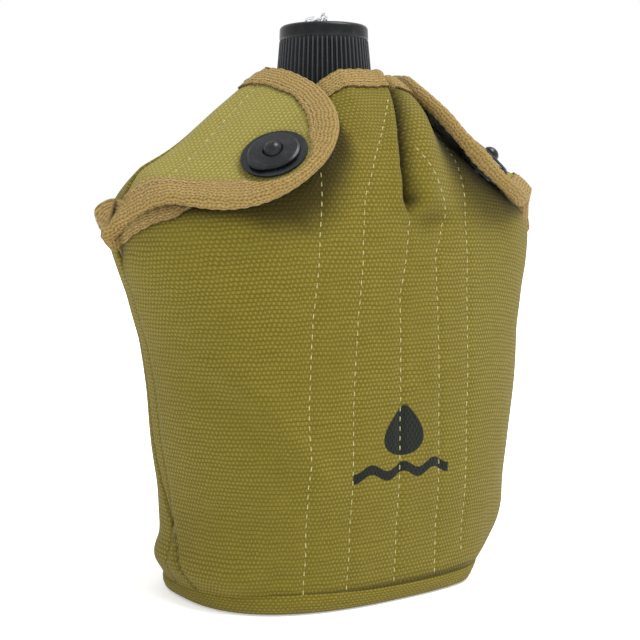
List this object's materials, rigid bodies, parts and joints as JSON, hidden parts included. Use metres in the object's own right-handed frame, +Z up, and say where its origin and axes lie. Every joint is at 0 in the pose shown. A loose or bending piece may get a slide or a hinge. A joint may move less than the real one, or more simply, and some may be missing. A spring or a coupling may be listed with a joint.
{
  "type": "canteen",
  "caption": "Kidney-shaped metal flask in a lined canvas belt cover with snap-down shoulder flaps, ribbed screw cap on a chain and a wire belt hanger.",
  "frame": {"origin": "centre of the base on the resting plane", "axes": "+X to the right flap, front panel towards -Y, belt hanger towards +Y, +Z up"},
  "size_m": [0.1834, 0.1028, 0.2038],
  "materials": {
    "bottle_metal": "satin",
    "chain_metal": "bright",
    "cap_plastic": "satin moulded",
    "gasket": "matte",
    "canvas": "plain weave",
    "felt": "felted",
    "tape": "herringbone twill",
    "black_metal": "semi-gloss enamel",
    "spring_metal": "satin",
    "hanger_metal": "dull plated",
    "webbing": "heavy webbing"
  },
  "bodies": {
    "canteen": {"bottle_lower": "bottle_metal", "bottle_upper": "bottle_metal", "bottle_neck": "bottle_metal", "cover_front": "canvas", "cover_back": "canvas", "cover_bottom": "canvas", "lining_front": "felt", "lining_back": "felt", "lining_bottom": "felt", "front_binding": "tape", "back_binding": "tape", "left_stud": "black_metal", "right_stud": "black_metal", "left_stud_washer": "spring_metal", "right_stud_washer": "spring_metal", "hanger_loop": "webbing", "hanger_patch": "webbing"},
    "cap_carrier": {"neck_collar": "chain_metal", "cap_washer": "chain_metal", "cap_pin": "chain_metal", "cap_chain": "chain_metal"},
    "cap": {"cap_shell": "cap_plastic", "cap_gasket": "gasket"},
    "left_flap": {"left_flap": "canvas", "left_flap_lining": "felt", "left_flap_binding": "tape", "left_socket_flange": "black_metal", "left_socket_plate": "black_metal", "left_socket_spring": "spring_metal", "left_clinch_plate": "black_metal"},
    "right_flap": {"right_flap": "canvas", "right_flap_lining": "felt", "right_flap_binding": "tape", "right_socket_flange": "black_metal", "right_socket_plate": "black_metal", "right_socket_spring": "spring_metal", "right_clinch_plate": "black_metal"},
    "hanger": {"hanger_wire": "hanger_metal"}
  },
  "joints": [
    {"name": "cap_lift", "type": "slide", "parent": "canteen", "child": "cap_carrier", "axis": [0, 0, 1], "range_m": [0, 0.009]},
    {"name": "cap_turn", "type": "hinge", "parent": "cap_carrier", "child": "cap", "pos_m": [0, 0, 0.19], "axis": [0, 0, 1], "range_deg": [0, 720]},
    {"name": "left_flap_fold", "type": "hinge", "parent": "canteen", "child": "left_flap", "pos_m": [-0.02768, -0.00374, 0.18236], "axis": [-0.8115, 0, -0.5843], "range_deg": [0, 150]},
    {"name": "right_flap_fold", "type": "hinge", "parent": "canteen", "child": "right_flap", "pos_m": [0.02768, -0.00374, 0.18236], "axis": [-0.8115, 0, 0.5843], "range_deg": [0, 150]},
    {"name": "hanger_swing", "type": "hinge", "parent": "canteen", "child": "hanger", "pos_m": [0, 0.0394, 0.118], "axis": [-1, 0, 0], "range_deg": [-5, 105]}
  ],
  "couplings": [
    {"joint": "cap_lift", "follows": "cap_turn", "m_per_rad": 0.0007162}
  ]
}
